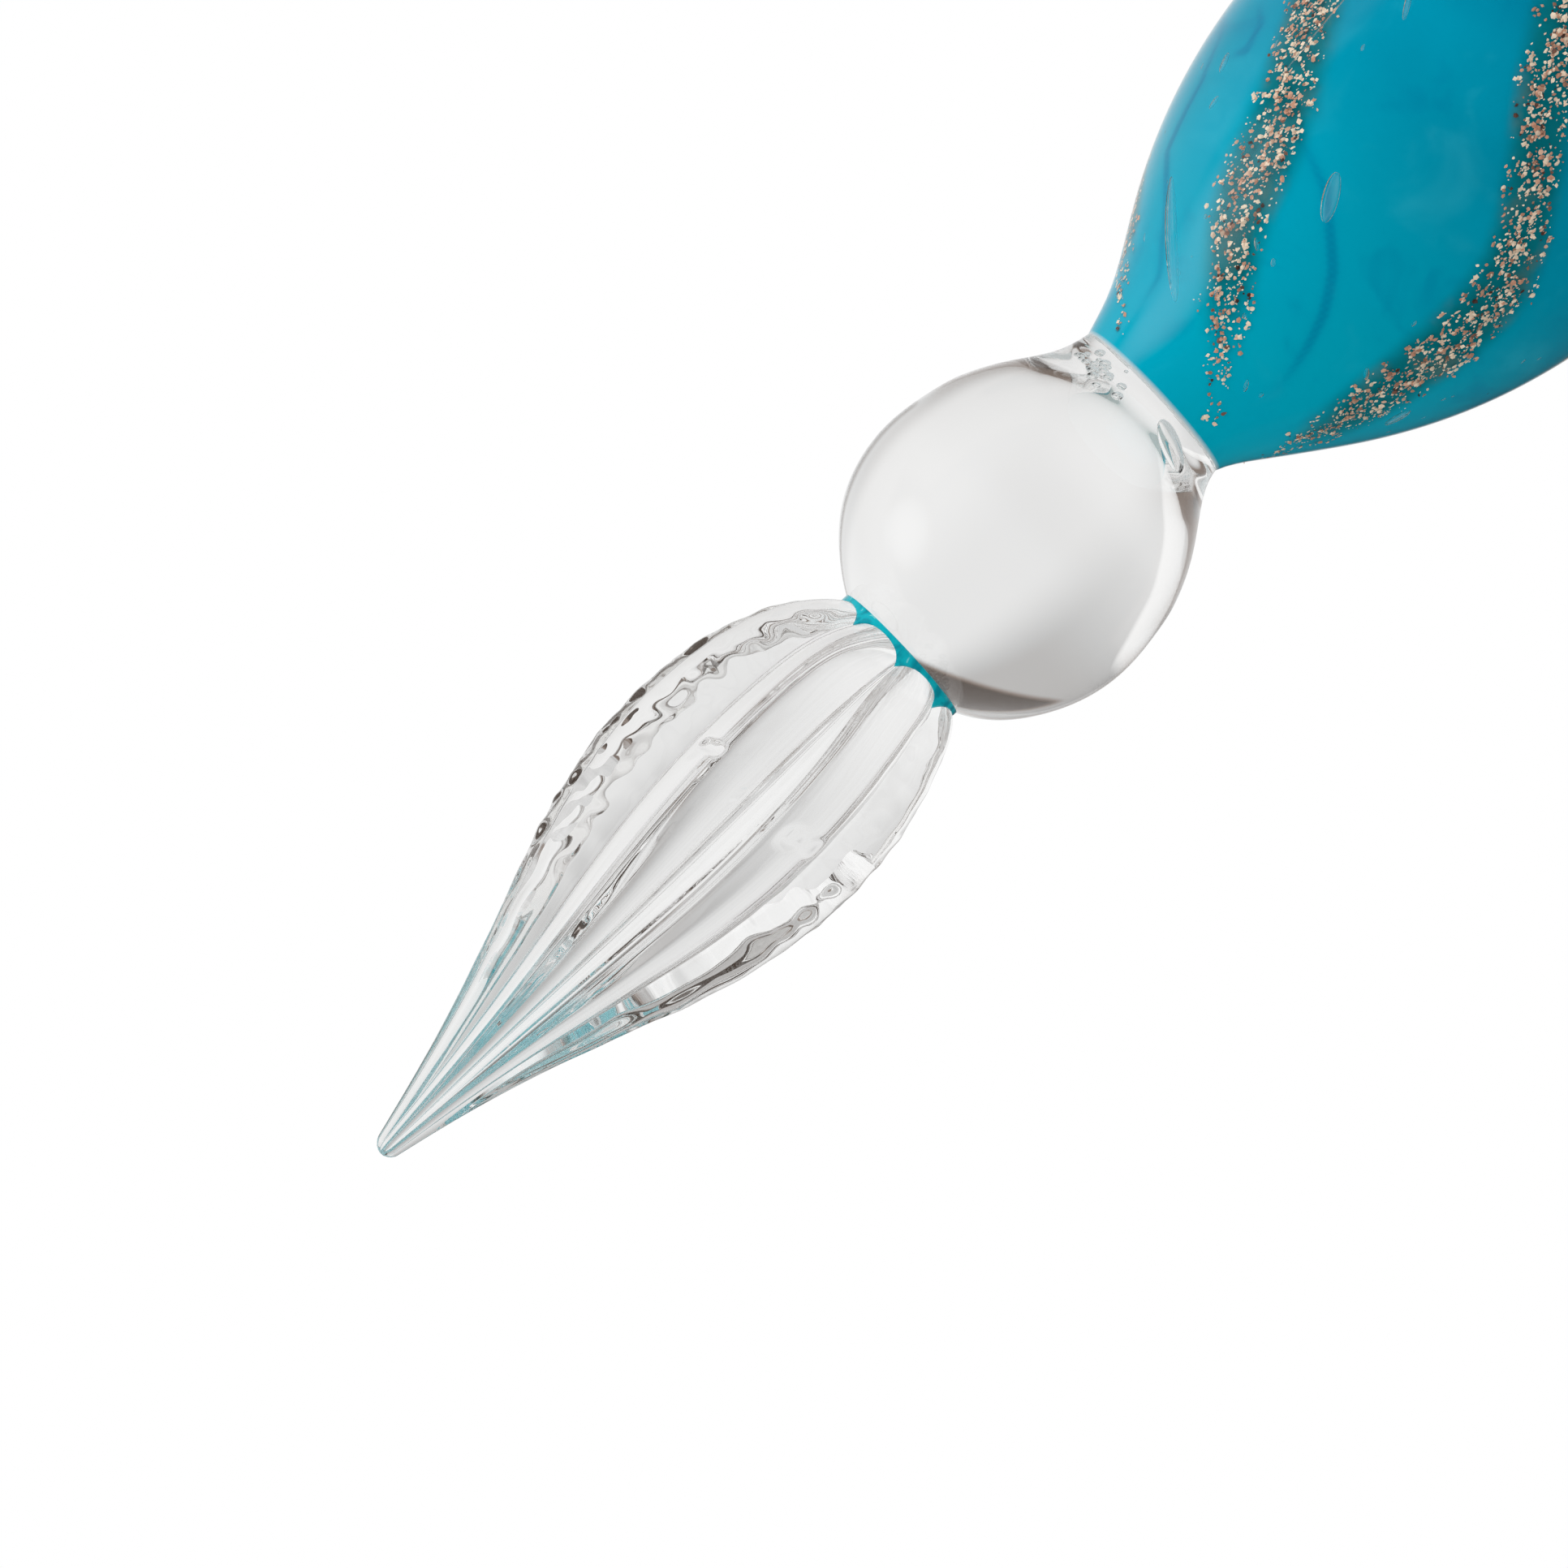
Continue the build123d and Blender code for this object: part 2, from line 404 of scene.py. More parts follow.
def make_collar(glass):
    """The turquoise ring, with points that run down into the grooves between the flutes."""
    columns = FLUTES * 24
    inner_rows, outer_rows, cap_rows = 4, 5, 3
    painted_light_nib_side, painted_light_ball_side = 0.3, 1.0  # painted light: how pale the hidden sides are painted, for the light that falls through the glass there
    top = ball_height - sqrt(ball_radius**2 - COLLAR_RADIUS**2) + 0.02
    cap_height = top + 0.005
    inner = [[] for _ in range(inner_rows)]
    outer = [[] for _ in range(outer_rows)]
    cap = [[] for _ in range(cap_rows)]
    for column in range(columns):
        angle = first_groove(NIB_LENGTH) + 360 * column / columns
        low = NIB_LENGTH - COLLAR_LAP
        while low < top - 0.1 and flute_radius(angle, low) > COLLAR_RADIUS:
            low += 0.01
        for step in range(inner_rows):
            height = mix(top, low, step / (inner_rows - 1))
            radius = min(COLLAR_RADIUS, flute_radius(angle, height)) - 0.02
            inner[step].append(place(radius, angle, height))
        for step in range(outer_rows):
            outer[step].append(place(COLLAR_RADIUS, angle, mix(low, top, step / (outer_rows - 1))))
        for step in range(cap_rows):
            cap[step].append(place(COLLAR_RADIUS * (1 - 0.3 * step) - 0.01, angle, cap_height))
    skin = Skin()
    skin.wind(inner + outer + cap, place(0, 0, top), place(0, 0, cap_height))
    # The 'inside' values are painted light on the hidden sides towards the nib and the ball.
    inside = [painted_light_nib_side] * (inner_rows * columns)
    inside += [0.0] * (outer_rows * columns)
    inside += [painted_light_ball_side] * (cap_rows * columns)
    inside += [painted_light_nib_side, painted_light_ball_side]
    piece = mesh("collar_glass", skin.points, skin.faces, glass, fields={"inside": inside})
    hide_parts("nib_collar")
    return piece


# Shape of the ball and the handle


def ball_shoulder():
    """The side of the shoulder from the ball's middle to the neck."""
    points = [(ball_radius, ball_height)]
    for rise, fall in BALL_SIDE:
        points.append((mix(ball_radius, neck_radius, fall), ball_height + NECK_RISE * rise))
    points.append((neck_radius, neck_height))
    return Side(points, 0.0, -0.15)


shoulder_side = ball_shoulder()
handle_side = Side([(radius, neck_height + rise) for radius, rise in HANDLE_SIDE], 0.35, 0.0)


def ball_radius_at(height):
    """A sphere that goes over into a fuller shoulder above its middle."""
    rise = height - ball_height
    round_side = sqrt(max(0.0, ball_radius**2 - rise**2))
    return mix(round_side, shoulder_side(height), smooth(0.0, 2.5, rise))


def core_radius(height):
    """Radius of the turquoise core, which comes up to the surface at the neck."""
    wall = mix(NECK_WALL, CASING_WALL, smooth(0.0, 5.0, height - neck_height))
    return handle_side(height) - wall


def wind_up():
    """The angle that the twist has reached at each step up the handle."""
    turns = [RIBBON_START]
    height = neck_height
    while height < handle_end:
        thinness = bulge_radius / handle_side(height)
        turns.append(turns[-1] + 360 * TWIST_STEP / TWIST_PITCH * thinness**TWIST_GAIN)
        height += TWIST_STEP
    return turns


twist_turns = wind_up()


def twist(height):
    """The angle of the first ribbon's middle at a height, in degrees."""
    spot = (height - neck_height) / TWIST_STEP
    step = min(len(twist_turns) - 2, max(0, int(spot)))
    swirl = NECK_SWIRL * (1 - smooth(0.0, NECK_SWIRL_REACH, height - neck_height))
    return mix(twist_turns[step], twist_turns[step + 1], spot - step) + swirl


def round_ring(radius, height, columns):
    return [place(radius, 360 * column / columns, height) for column in range(columns)]


def round_rings(radius_at, heights, columns):
    """Round rings of points, one at each height."""
    return [round_ring(radius_at(height), height, columns) for height in heights]


def steps(low, high, count):
    """Evenly spaced values from low to high, both ends among them."""
    return [mix(low, high, step / count) for step in range(count + 1)]


def add_bubble(skin, side, angle, height, sizes, lean, depth=0.3, rows=12):
    """An air bubble under a skin: sizes are its half length, half width and half depth."""
    outward = polar(1, angle, 0)
    across = polar(1, angle + 90, 0)
    slope = (side(height + 0.1) - side(height - 0.1)) / 0.2
    along = (Vector((0, 0, 1)) + outward * slope).normalized()
    long_axis = along * cos(radians(lean)) + across * sin(radians(lean))
    wide_axis = across * cos(radians(lean)) - along * sin(radians(lean))
    skin.bubble(place(side(height) - depth, angle, height), long_axis, wide_axis, sizes, rows)


def make_ball(glass):
    """The clear ball and its neck, with air caught where the handle's glass was welded on."""
    cluster_bubbles = 26
    seam_bubbles = 22
    bottom = [ball_height - ball_radius * cos(pi / 2 * step / 60) for step in range(1, 60)]
    heights = bottom + steps(ball_height, neck_height, 80)
    skin = Skin()
    skin.wind(round_rings(ball_radius_at, heights, ROUND_COLUMNS), place(0, 0, ball_height - ball_radius))
    chance = random.Random(23)
    # A cluster at the left of the weld, one large flat bubble at the right, and fine ones round the seam
    for _ in range(cluster_bubbles):
        angle = FRONT - 42 + chance.gauss(0, 11)
        height = neck_height - 0.75 + chance.gauss(0, 0.22)
        size = chance.uniform(0.05, 0.16)
        sizes = (size * 1.3, size, size)
        add_bubble(skin, ball_radius_at, angle, height, sizes, 40.0, chance.uniform(0.25, 0.5))
    add_bubble(skin, ball_radius_at, FRONT + 28, neck_height - 0.85, (0.85, 0.42, 0.14), -62.0, 0.5)
    for number in range(seam_bubbles):
        angle = 360 * number / seam_bubbles + chance.uniform(-6, 6)
        length = chance.uniform(0.12, 0.34)
        add_bubble(skin, ball_radius_at, angle, neck_height - 0.06, (length, 0.03, 0.03), 90.0, 0.12)
    piece = mesh("ball_glass", skin.points, skin.faces, glass)
    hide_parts("ball")
    return piece


def make_casing(glass):
    """The clear casing, with the listed large bubbles and finer ones all the way up."""
    specks = 250
    seeds = 80
    skin = Skin()
    skin.wind(round_rings(handle_side, steps(neck_height, handle_end, 420), ROUND_COLUMNS))
    for angle, rise, length, width, depth, lean in BUBBLES:
        add_bubble(skin, handle_side, FRONT + angle, neck_height + rise, (length, width, depth), lean)
    chance = random.Random(17)
    for _ in range(specks):
        height = neck_height + 2 + 110 * chance.random() ** 1.3
        size = 0.03 + 0.07 * chance.random() ** 2
        sizes = (size * chance.uniform(1, 3), size, size)
        lean = chance.uniform(-60, 0)
        angle = chance.uniform(0, 360)
        add_bubble(skin, handle_side, angle, height, sizes, lean, depth=chance.uniform(0.1, 0.4), rows=6)
    for _ in range(seeds):
        size = mix(0.06, 0.26, chance.random() ** 4)
        sizes = (size * chance.uniform(1.2, 3), size, size * 0.5)
        height = neck_height + 3 + 107 * chance.random() ** 1.4
        angle = chance.uniform(0, 360)
        add_bubble(skin, handle_side, angle, height, sizes, lean=chance.uniform(-45, -20), rows=8)
    piece = mesh("casing_glass", skin.points, skin.faces, glass)
    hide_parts("handle_casing")
    return piece


def stray(number, height):
    """How many degrees a ribbon lies off an even twist."""
    turn, rise, reach = RIBBON_STRAYS[number]
    return turn * bell(height - neck_height, rise, reach)


def ribbon_angle(number, height):
    """The angle of a ribbon's middle at a height, in degrees."""
    return twist(height) + number * 360 / RIBBONS + stray(number, height)


def hand_veins():
    """Darker threads in the core: the drawn ones, and others that wander up the handle."""
    chance = random.Random(31)
    veins = [[(FRONT + angle, neck_height + rise) for angle, rise in vein] for vein in VEINS]
    for _ in range(WANDERING_VEINS):
        height = neck_height + chance.uniform(10, 112)
        angle = chance.uniform(0, 360)
        lean = chance.uniform(-16, 16)
        vein = []
        for _ in range(chance.randint(5, 10)):
            vein.append((angle, height))
            angle += lean * chance.uniform(0.3, 1.4)
            height -= chance.uniform(0.7, 1.8)
            lean += chance.uniform(-9, 9)
        veins.append(vein)
    return veins


def nearness(angles, heights, radii, vein, width):
    """1 on a vein, falling off over its width on both sides and towards both its ends."""
    near = np.zeros_like(heights)
    runs = len(vein) - 1
    scale = np.radians(radii)
    for run, ((angle_from, height_from), (angle_to, height_to)) in enumerate(zip(vein, vein[1:])):
        across = ((angles - angle_from + 180) % 360 - 180) * scale
        along = heights - height_from
        run_across = (angle_to - angle_from) * scale
        run_along = height_to - height_from
        share = (across * run_across + along * run_along) / (run_across**2 + run_along**2)
        share = np.clip(share, 0, 1)
        gap = np.hypot(across - share * run_across, along - share * run_along)
        taper = np.sqrt(np.sin(pi * (run + share) / runs).clip(0, 1))
        near = np.maximum(near, taper * np.exp(-((gap / width) ** 2)))
    return near


def make_core(glass):
    """The turquoise core. Its points carry how near they are to a ribbon, a vein and the weld."""
    columns = 200
    bottom = neck_height - 0.02
    top = handle_end - 0.02
    heights = steps(bottom, neck_height + 30, 200) + steps(neck_height + 30.4, top, 230)
    skin = Skin()
    skin.wind(round_rings(core_radius, heights, columns), place(0, 0, bottom), place(0, 0, top))
    levels = np.repeat(heights, columns)
    radii = np.repeat([core_radius(height) for height in heights], columns)
    angles = np.tile([360 * column / columns for column in range(columns)], len(heights))
    ribbon = np.zeros_like(levels)
    for number in range(RIBBONS):
        middles = np.repeat([ribbon_angle(number, height) for height in heights], columns)
        gap = np.abs((angles - middles + 180) % 360 - 180) * np.radians(radii)
        reach = np.repeat([ribbon_width(height) for height in heights], columns)
        ribbon = np.maximum(ribbon, np.clip(1.4 - gap / reach, 0, 1))
    ribbon *= np.repeat([smooth(1.0, 5.0, height - neck_height) for height in heights], columns)
    vein = np.zeros_like(levels)
    for line in hand_veins():
        vein = np.maximum(vein, nearness(angles, levels, radii, line, VEIN_WIDTH))
    weld = np.clip((neck_height + 0.12 - levels) / 0.1, 0, 1)
    fields = {
        "ribbon": [*ribbon, 0.0, 0.0],
        "vein": [*vein, 0.0, 0.0],
        "weld": [*weld, 1.0, 0.0],
    }
    piece = mesh("core_glass", skin.points, skin.faces, glass, fields=fields)
    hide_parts("handle_core")
    return piece


def make_tail(glass):
    """The drop: a concave neck that flows into a round bead."""
    rows = 40
    leave = TAIL_RADIUS * sin(pi / 4)
    neck = Side([(shaft_radius, handle_end), (leave, tail_height - leave)], -0.3, 1.0)
    rings = round_rings(neck, steps(handle_end, tail_height - leave, rows), ROUND_COLUMNS)
    for slope in steps(-45, 88, rows)[1:]:
        radius = TAIL_RADIUS * cos(radians(slope))
        height = tail_height + TAIL_RADIUS * sin(radians(slope))
        rings.append(round_ring(radius, height, ROUND_COLUMNS))
    skin = Skin()
    skin.wind(rings, None, place(0, 0, tail_height + TAIL_RADIUS))
    piece = mesh("tail_glass", skin.points, skin.faces, glass)
    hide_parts("tail_drop")
    return piece


# Goldstone ribbons


def ribbon_width(height):
    """Half the width of a ribbon."""
    grown = mix(0.6, 1.15, smooth(0.0, 4.0, height - neck_height))
    return grown * (handle_side(height) / bulge_radius) ** 0.3


def add_flake(points, faces, centre, outward, size, chance):
    """A thin angular flake with a low crown on both sides. Gives back how many points it has."""
    up = Vector((0, 0, 1))
    beside = up.cross(outward)
    flat_u = (up + outward * chance.gauss(0, 0.4)).normalized()
    flat_v = (beside + outward * chance.gauss(0, 0.4)).normalized()
    crown = flat_v.cross(flat_u) * (size * 0.22)
    sides = chance.randint(4, 6)
    spin = chance.uniform(0, 360)
    stretch = chance.uniform(0.55, 1.0)
    first = len(points)
    for side in range(sides):
        turn = radians(spin + 360 * side / sides)
        reach = size * chance.uniform(0.65, 1.2)
        points.append(centre + flat_u * (reach * cos(turn)) + flat_v * (reach * stretch * sin(turn)))
    points.append(centre + crown)
    points.append(centre - crown)
    for side in range(sides):
        beside = first + (side + 1) % sides
        faces.append((first + side, beside, first + sides))
        faces.append((beside, first + side, first + sides + 1))
    return sides + 2


def make_ribbon(number, copper):
    """Copper flakes in clusters, under the casing and over the core's dark band."""
    chance = random.Random(100 + number)
    points = []
    faces = []
    tones = []
    step = 0.1
    spread = 0.08  # of the flakes round the middle of their cluster
    height = neck_height + 0.5
    while height < handle_end - 1.0:
        clusters = mix(5.8, 4.2, smooth(20, 45, height - neck_height))
        clusters *= smooth(neck_height - 0.5, neck_height + 5, height)
        for _ in range(int(clusters + chance.random())):
            spot = height + chance.random() * step
            offset = max(-1.0, min(1.0, chance.gauss(0, 0.5))) * ribbon_width(spot)
            sink = chance.random()
            painted_light_share = chance.random()
            for _ in range(chance.choice((1, 2, 3, 3, 5))):
                level = spot + chance.gauss(0, spread)
                radius = core_radius(level)
                turn = (offset + chance.gauss(0, spread)) / radians(radius)
                angle = ribbon_angle(number, level) + turn
                highest = max(0.06, handle_side(level) - radius - 0.12)
                rise = mix(0.05, highest, sink) * chance.uniform(0.8, 1)
                size = 0.03 + 0.085 * chance.random() ** 2
                centre = place(radius + rise, angle, level)
                count = add_flake(points, faces, centre, polar(1, angle, 0), size, chance)
                # A flake's tone is partly its own copper colour and partly painted light: painted glints
                # at the bright end, painted shade at the dark end.
                tones += [mix(painted_light_share, chance.random(), 0.3)] * count
        height += step
    piece = mesh(f"ribbon_{number + 1}_flakes", points, faces, copper, fields={"tone": tones})
    piece.data.polygons.foreach_set("use_smooth", [False] * len(piece.data.polygons))
    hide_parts(f"goldstone_ribbon_{number + 1}")
    return piece


# Materials


class Signal:
    """A number that varies over a surface. Arithmetic on it adds Math nodes."""

    def __init__(self, graph, socket):
        self.graph = graph
        self.socket = socket

    def math(self, operation, *values):
        node = self.graph.node("Math", {"operation": operation}, dict(enumerate(values)))
        return Signal(self.graph, node.outputs[0])

    def __add__(self, other):
        return self.math("ADD", self, other)

    __radd__ = __add__

    def __sub__(self, other):
        return self.math("SUBTRACT", self, other)

    def __rsub__(self, other):
        return self.math("SUBTRACT", other, self)

    def __mul__(self, other):
        return self.math("MULTIPLY", self, other)

    __rmul__ = __mul__

    def rise(self, low, high):
        """0 below low, 1 above high, smooth between."""
        node = self.graph.node(
            "MapRange",
            {"interpolation_type": "SMOOTHSTEP"},
            {"Value": self, "From Min": low, "From Max": high},
        )
        return Signal(self.graph, node.outputs[0])

    def most(self, other):
        """The larger of the two."""
        return self.math("MAXIMUM", self, other)


class Graph:
    """The nodes of one material or of the world."""

    def __init__(self, tree):
        self.tree = tree
        tree.nodes.clear()

    def node(self, kind, settings=None, sockets=None):
        node = self.tree.nodes.new("ShaderNode" + kind)
        for name, value in (settings or {}).items():
            setattr(node, name, value)
        for name, value in (sockets or {}).items():
            self.feed(node.inputs[name], value)
        return node

    def feed(self, socket, value):
        if isinstance(value, Signal):
            self.tree.links.new(value.socket, socket)
        elif isinstance(value, bpy.types.NodeSocket):
            self.tree.links.new(value, socket)
        else:
            socket.default_value = value

    def signal(self, kind, settings=None, sockets=None, output=0):
        return Signal(self, self.node(kind, settings, sockets).outputs[output])

    def field(self, name):
        """The values that a mesh carries under a name."""
        return self.signal("Attribute", {"attribute_name": name}, None, 2)

    def noise(self, spot, scale, detail, distortion=0.0):
        """Cloudy noise round 0.5, with so many bumps to the metre."""
        sockets = {"Vector": spot, "Scale": scale, "Detail": detail, "Distortion": distortion}
        return self.signal("TexNoise", None, sockets)

    def blend(self, share, low, high):
        """A colour between two, as far as share says."""
        node = self.node("Mix", {"data_type": "RGBA"}, {0: share, 6: low, 7: high})
        return node.outputs[2]


def material(name):
    """A new material and the graph of its nodes."""
    made = bpy.data.materials.new(name)
    made.use_nodes = True
    return made, Graph(made.node_tree)


def srgb(red, green, blue):
    """A colour given on the usual 0 to 255 scale, as linear light."""
    channels = []
    for value in (red, green, blue):
        share = value / 255
        channels.append(share / 12.92 if share <= 0.04045 else ((share + 0.055) / 1.055) ** 2.4)
    return (*channels, 1.0)


def clear_glass(name, gloss):
    """Fire-polished glass that lets lamps and soft light through to what it holds."""
    made, graph = material(name)
    glass = graph.node(
        "BsdfPrincipled",
        None,
        {
            "Base Color": (0.99, 0.99, 0.985, 1),
            "Roughness": 0.0,
            "IOR": 1.5,
            "Specular IOR Level": gloss,
            "Transmission Weight": 1.0,
        },
    )
    open_air = graph.node("BsdfTransparent")
    path = graph.node("LightPath")
    shadow = Signal(graph, path.outputs["Is Shadow Ray"])
    soft = Signal(graph, path.outputs["Is Diffuse Ray"])
    surface = graph.node(
        "MixShader",
        None,
        {0: shadow.most(soft), 1: glass.outputs[0], 2: open_air.outputs[0]},
    )
    graph.node("OutputMaterial", None, {"Surface": surface.outputs[0]})
    return made


def turquoise_glass():
    """Cloudy turquoise with darker threads, turned greenish brown under the ribbons, and painted shade
    that darkens it up the handle.
    """
    made, graph = material("turquoise_glass")
    spot = graph.node("TexCoord").outputs["Object"]
    cloud = graph.noise(spot, 170.0, 2.0)
    veil = graph.noise(spot, 240.0, 4.0, 1.4)
    mottle = graph.noise(spot, 620.0, 3.0)
    ribbon = graph.field("ribbon")
    vein = graph.field("vein")
    weld = graph.field("weld")
    shade_reach = 18  # height over the neck at which the painted shade has fully darkened the turquoise
    height = graph.signal("SeparateXYZ", None, {0: spot}, 2)
    # Painted shade: the turquoise is painted darker up the handle, standing for the shade that falls
    # there.
    painted_shade_up_handle = height.rise(neck_height * MM, (neck_height + shade_reach) * MM)
    colour = graph.blend(painted_shade_up_handle, srgb(0, 169, 194), srgb(0, 128, 160))
    colour = graph.blend(cloud.rise(0.4, 0.7) * 0.5, colour, srgb(0, 160, 190))
    colour = graph.blend(veil.rise(0.52, 0.76) * 0.2, colour, srgb(60, 184, 206))
    colour = graph.blend(veil.rise(0.46, 0.3) * 0.3, colour, srgb(0, 122, 160))
    colour = graph.blend(vein * 0.2 + vein.rise(0.35, 0.95) * 0.3, colour, srgb(0, 100, 146))
    colour = graph.blend(ribbon.rise(0.0, 0.9) * 0.85, colour, srgb(8, 112, 120))
    brown = ribbon.rise(0.1, 0.8) * mottle.rise(0.5, 0.7)
    colour = graph.blend(brown * 0.45, colour, srgb(104, 112, 92))
    colour = graph.blend(weld, colour, srgb(214, 222, 224))
    body = graph.node(
        "BsdfPrincipled",
        None,
        {"Base Color": colour, "Roughness": 0.35, "Specular IOR Level": 0.0},
    )
    graph.node("OutputMaterial", None, {"Surface": body.outputs[0]})
    return made


def collar_glass():
    """Streaky turquoise outside. Its hidden sides towards the nib and the ball are painted pale: painted
    light for the light that falls through the glass there.
    """
    made, graph = material("collar_glass")
    streak = graph.noise(graph.node("TexCoord").outputs["Object"], 900.0, 3.0, 2.0)
    inside = graph.field("inside")
    colour = graph.blend(streak.rise(0.38, 0.6), srgb(4, 140, 158), srgb(8, 178, 192))
    colour = graph.blend(streak.rise(0.66, 0.7) * 0.6, colour, srgb(150, 226, 228))
    # Painted light: the hidden sides are painted near white.
    colour = graph.blend(inside, colour, srgb(222, 238, 238))
    body = graph.node("BsdfPrincipled", None, {"Base Color": colour, "Roughness": 0.12, "IOR": 1.5})
    graph.node("OutputMaterial", None, {"Surface": body.outputs[0]})
    return made


def copper_flake():
    """Copper from dark brown through pinkish copper to bright cream, one tone to a flake: the copper is
    the flakes' own colour, the dark brown is painted shade and the bright cream is painted glints.
    """
    made, graph = material("copper_flake")
    tone = graph.field("tone")
    # Painted shade at the dark brown end and painted glints at the bright cream end.
    colour = graph.blend(tone.rise(0.1, 0.3), srgb(74, 44, 36), srgb(214, 156, 128))
    colour = graph.blend(tone.rise(0.35, 0.65), colour, srgb(255, 232, 206))
    body = graph.node("BsdfPrincipled", None, {"Base Color": colour, "Metallic": 0.2, "Roughness": 0.3})
    graph.node("OutputMaterial", None, {"Surface": body.outputs[0]})
    return made


# Studio


def table_tone(bearing, height, across, through):
    """The pale table and wall behind the pen: darker to the left, with a dark corner high up there."""
    shade = bearing.rise(-8.0, -28.0) * (0.1 + 0.22 * height.rise(-0.3, 0.35))
    low = height.rise(0.0, -0.35) * bearing.rise(40.0, 0.0)
    tone = 0.83 + 0.06 * bearing.rise(2.0, 20.0) * height.rise(-0.3, 0.1) + 0.08 * low - shade
    corner = (height * 1.2 - across * 0.6).rise(0.95, 1.03) * bearing.rise(-72.0, -62.0)
    tone = tone * (1 - 0.85 * corner)
    tone = tone - 0.16 * bearing.rise(46.0, 64.0)
    far_right = (bearing - 36.0 * height.rise(-0.1, -0.32) * through).rise(68.0, 80.0)
    tone = tone * (1 - far_right) * (1 - bearing.rise(-78.0, -90.0))
    below = bearing.rise(2.0, 16.0) * height.rise(0.25, 0.05)
    sides = bearing.math("ABSOLUTE", bearing).rise(20.0, 50.0)
    return tone * (1 - (0.95 * below).most(0.5 * sides) * (1 - through))


def window_tone(bearing, height, through):
    """The window at the left, with its sill below and a narrower pane that reaches higher."""
    window = (bearing + 53.0 * height).rise(-43.0, -58.0) * height.rise(0.22, 0.0)
    window = window * (0.3 + 0.7 * through)
    sill = height.rise(-0.45, -0.6) * bearing.rise(-54.0, -62.0) * through
    window = window * (1 - 0.65 * sill)
    pane = bearing.rise(-70.0, -82.0)
    pane = pane * height.rise(0.8, 0.7) * (0.25 + 0.7 * through)
    far_left = bearing + (24.0 * height.rise(0.35, 0.15) - 12.0) * through
    lit = height.rise(-0.32, -0.12).most(through)
    return window.most(pane) * far_left.rise(-118.0, -106.0) * lit


def front_tone(bearing, height, through):
    """The bright wall in front of the pen, which only shows through the glass."""
    away = bearing.math("ABSOLUTE", bearing)
    wall = away.rise(126.0, 144.0) * height.rise(0.98, 0.9) * through
    return 0.82 * wall * (1 - 0.7 * away.rise(158.0, 169.0) * height.rise(-0.1, -0.28))


def studio_room():
    """The room as the glass shows it by direction, and the soft light that it gives to solid colours.

    A bearing is in degrees to the right of straight behind the pen, and a height is the rise of a
    direction of length 1. Light that has come through the glass sees more of the bright walls than
    what the outer surface mirrors.
    """
    dark = 0.006
    dark_through_glass = 0.05
    lamp_direction = (-0.73, -0.22, -0.64)
    world = bpy.data.worlds.new("studio")
    bpy.context.scene.world = world
    world.use_nodes = True
    graph = Graph(world.node_tree)
    direction = graph.node("TexCoord").outputs["Generated"]
    parts = graph.node("SeparateXYZ", None, {0: direction})
    across = Signal(graph, parts.outputs["X"])
    behind = Signal(graph, parts.outputs["Y"])
    height = Signal(graph, parts.outputs["Z"])
    bearing = across.math("ARCTAN2", across, behind) * (180 / pi)
    path = graph.node("LightPath")
    camera = Signal(graph, path.outputs["Is Camera Ray"])
    soft = Signal(graph, path.outputs["Is Diffuse Ray"])
    through = Signal(graph, path.outputs["Is Transmission Ray"])
    tone = table_tone(bearing, height, across, through)
    tone = tone.most(window_tone(bearing, height, through))
    tone = tone.most(front_tone(bearing, height, through))
    tone = tone.most(dark + dark_through_glass * through)
    facing = graph.signal("VectorMath", {"operation": "DOT_PRODUCT"}, {0: direction, 1: lamp_direction}, 1)
    tone = tone + 1.3 * facing.rise(0.91, 1.0) * (1 - through)
    sky = 0.63 - 0.38 * across - 0.23 * behind - 0.2 * height + 0.35 * across.rise(0.7, 1.0)
    strength = camera + (1 - camera) * (soft * sky.most(0.0) + (1 - soft) * tone)
    tint = graph.blend(strength.rise(0.05, 0.6), srgb(255, 222, 200), (1, 1, 1, 1))
    background = graph.node("Background", None, {"Color": tint, "Strength": strength})
    graph.node("OutputWorld", None, {"Surface": background.outputs[0]})


def hang_softbox():
    """A large soft lamp at the left, a little in front of the pen."""
    target = Vector((0, 0, 0.04))
    data = bpy.data.lights.new("softbox", "AREA")
    data.shape = "RECTANGLE"
    data.size = 0.25
    data.size_y = 0.35
    data.energy = 0.6
    softbox = bpy.data.objects.new("softbox", data)
    bpy.context.scene.collection.objects.link(softbox)
    softbox.visible_glossy = False
    softbox.visible_transmission = False
    softbox.location = (-0.4, -0.15, 0.12)
    softbox.rotation_euler = (target - softbox.location).to_track_quat("-Z", "Y").to_euler()


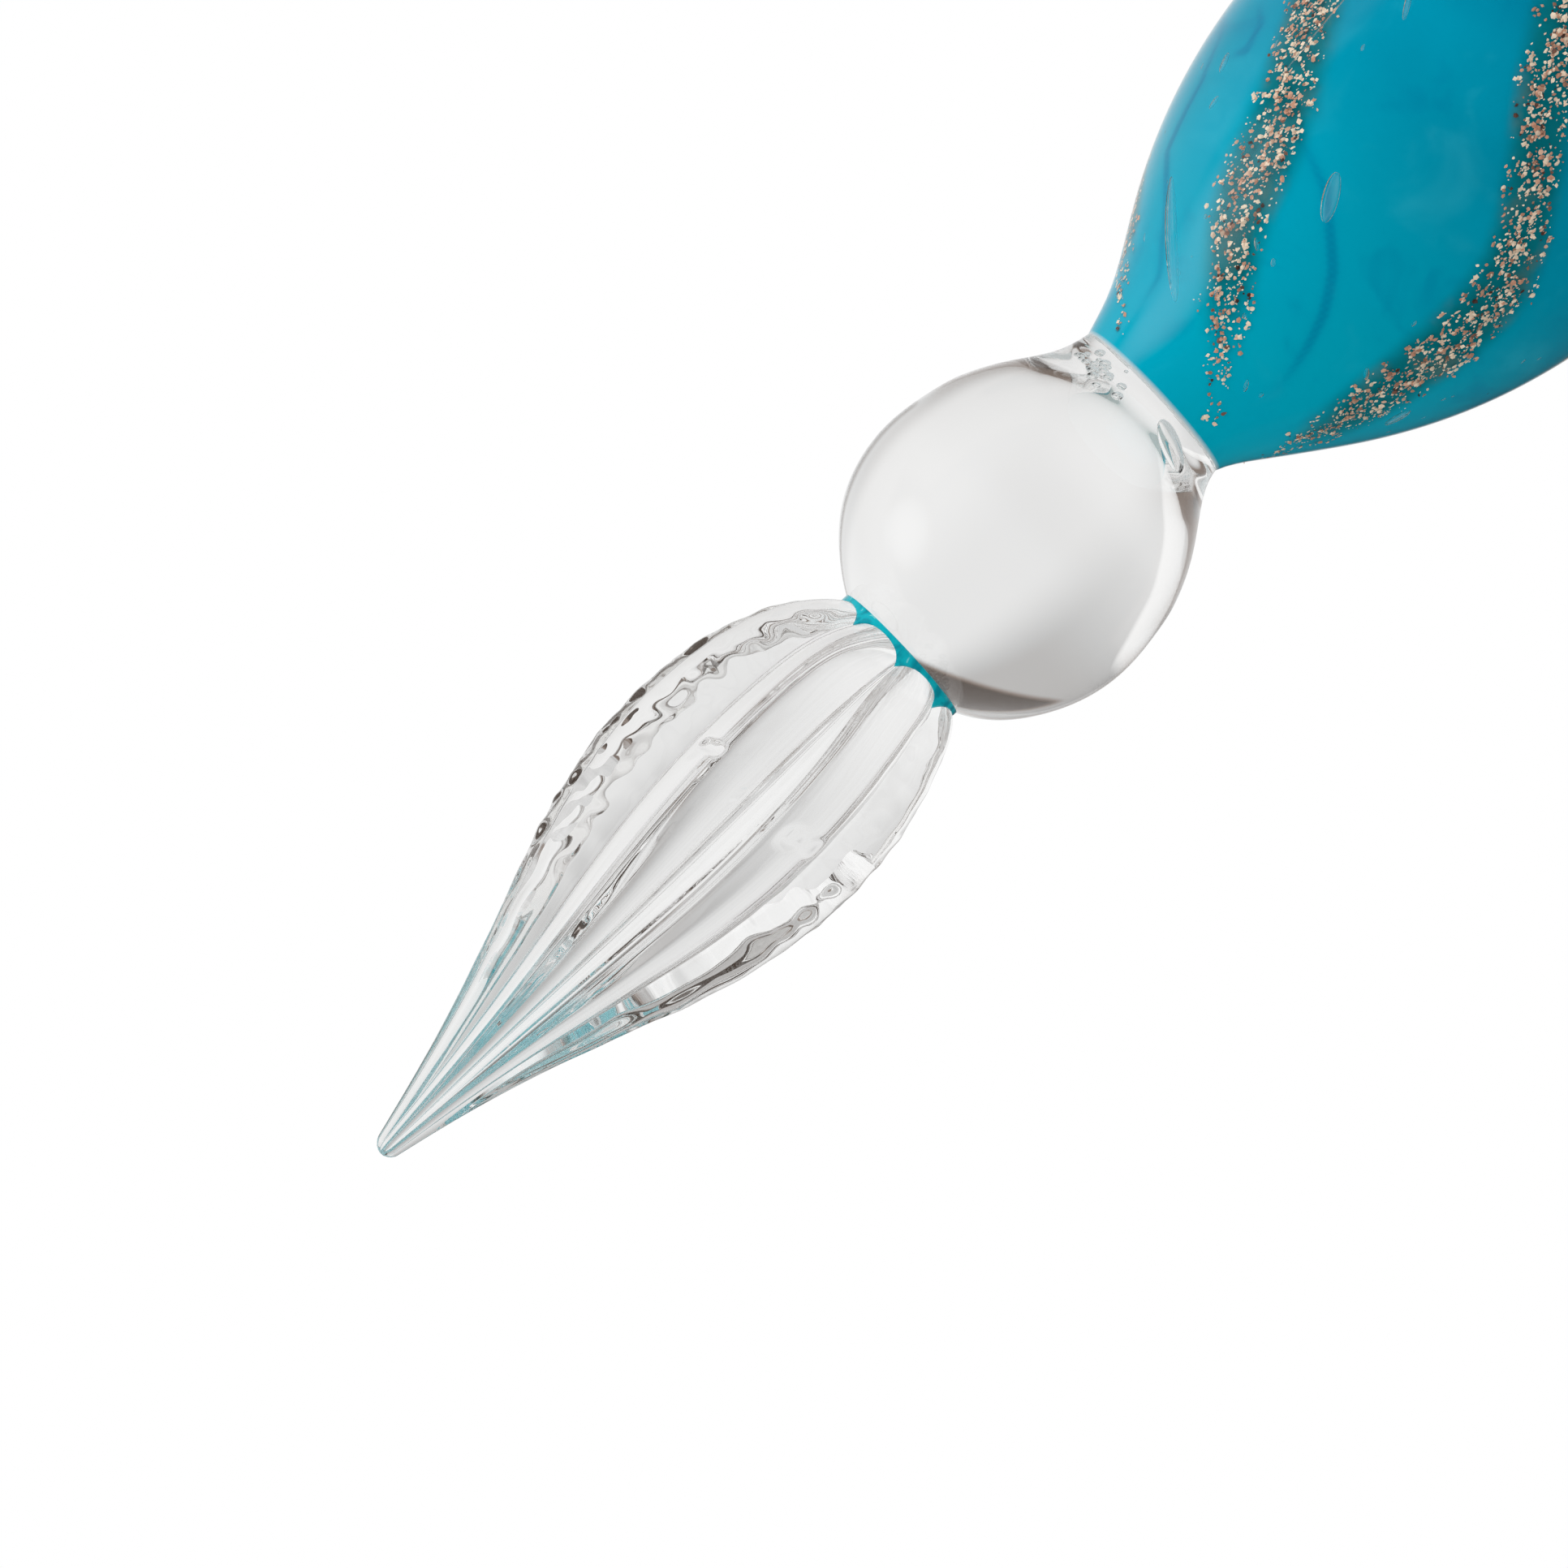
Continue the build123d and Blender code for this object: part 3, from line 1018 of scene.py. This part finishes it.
def place_camera():
    """The camera looks a little upwards, rolled so that the pen slants across its picture."""
    slope = radians(43.0)
    tilt = radians(4.0)
    distance = 390.0
    picture_width = 47.3  # at the pen
    sensor_width = 36.0
    right_shift = -6.76
    up_shift = -7.13
    forward = Vector((0, cos(tilt), sin(tilt)))
    level = Vector((1, 0, 0))
    upright = Vector((0, -sin(tilt), cos(tilt)))
    right = upright * cos(slope) + level * sin(slope)
    up = upright * sin(slope) - level * cos(slope)
    aim = Vector((0, 0, ball_height)) + right * right_shift + up * up_shift
    data = bpy.data.cameras.new("camera")
    data.sensor_width = sensor_width
    data.lens = sensor_width * distance / picture_width
    data.clip_start = 0.01
    camera = bpy.data.objects.new("camera", data)
    bpy.context.scene.collection.objects.link(camera)
    turn = Matrix((right, up, -forward)).transposed().to_4x4()
    camera.matrix_world = Matrix.Translation((aim - forward * distance) * MM) @ turn
    bpy.context.scene.camera = camera


def make_floor():
    """A round pale floor below the pen that fades out into the white round it."""
    made, graph = material("pale_floor")
    spot = graph.node("TexCoord").outputs["Object"]
    reach = graph.signal("VectorMath", {"operation": "LENGTH"}, {0: spot}, output=1)
    paint = graph.node(
        "BsdfPrincipled",
        None,
        {
            "Base Color": (0.9, 0.9, 0.9, 1),
            "Roughness": 1.0,
            "Specular IOR Level": 0.0,
            "Emission Color": (1, 1, 1, 1),
            "Emission Strength": 0.35,
        },
    )
    clear = graph.node("BsdfTransparent")
    surface = graph.node(
        "MixShader",
        None,
        {0: reach.rise(0.12, 0.4), 1: paint.outputs[0], 2: clear.outputs[0]},
    )
    graph.node("OutputMaterial", None, {"Surface": surface.outputs[0]})
    sides = 96
    floor_radius = 580
    floor_height = -24
    ring = [polar(floor_radius, 360 * side / sides, floor_height) for side in range(sides)]
    floor = mesh("floor", ring, [tuple(range(sides))], made, rides=None)
    floor.visible_glossy = False
    floor.visible_transmission = False


def make_pen():
    """All pieces. The casing mirrors less of the room than the free glass below it."""
    glass = clear_glass("fire_polished_glass", 0.5)
    casing = clear_glass("casing_glass", 0.28)
    turquoise = turquoise_glass()
    copper = copper_flake()
    make_nib(glass)
    make_collar(collar_glass())
    make_ball(glass)
    make_core(turquoise)
    make_casing(casing)
    make_tail(glass)
    for number in range(RIBBONS):
        make_ribbon(number, copper)


BOUNCES = 24  # light crosses many layers of glass before it leaves the nib
scene = bpy.context.scene
scene.view_settings.view_transform = "Standard"
scene.cycles.max_bounces = BOUNCES
scene.cycles.glossy_bounces = BOUNCES
scene.cycles.transmission_bounces = BOUNCES
place_camera()
studio_room()
hang_softbox()
make_floor()
make_pen()
